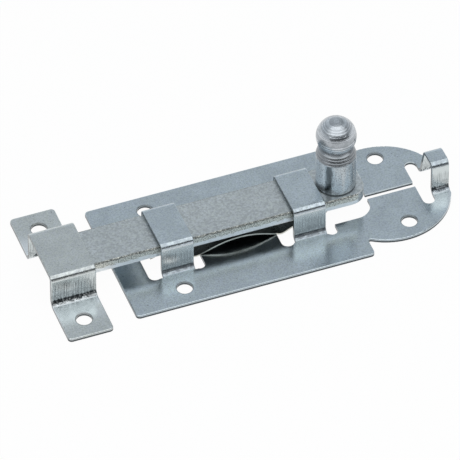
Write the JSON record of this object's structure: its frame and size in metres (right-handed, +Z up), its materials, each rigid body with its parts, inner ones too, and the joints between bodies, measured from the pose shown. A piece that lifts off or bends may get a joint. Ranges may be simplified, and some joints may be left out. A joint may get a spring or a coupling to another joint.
{
  "type": "flat slide bolt",
  "caption": "Flat slide bolt on a pressed plate with two bridges, a turned knob, a padlock staple and a separate keep.",
  "frame": {"origin": "on the underside of the plate, on its centre line, at the edge that faces the keep", "axes": "+X along the bolt towards the padlock staple, +Y across it, +Z up out of the face that it is screwed to"},
  "size_m": [0.1219, 0.0508, 0.0344],
  "materials": {
    "plate_zinc": "satin zinc plate, cool grey",
    "keep_zinc": "satin zinc plate",
    "bar_zinc": "satin zinc plate, mottled",
    "knob_zinc": "turned and zinc plated",
    "spring_steel": "plain spring steel"
  },
  "bodies": {
    "plate": {"base_plate": "plate_zinc", "keep": "keep_zinc", "leaf_spring": "spring_steel"},
    "bolt": {"bolt_bar": "bar_zinc", "knob": "knob_zinc"}
  },
  "joints": [
    {"name": "bolt_slide", "type": "slide", "parent": "plate", "child": "bolt", "axis": [1, 0, 0], "range_m": [0, 0.019]}
  ]
}
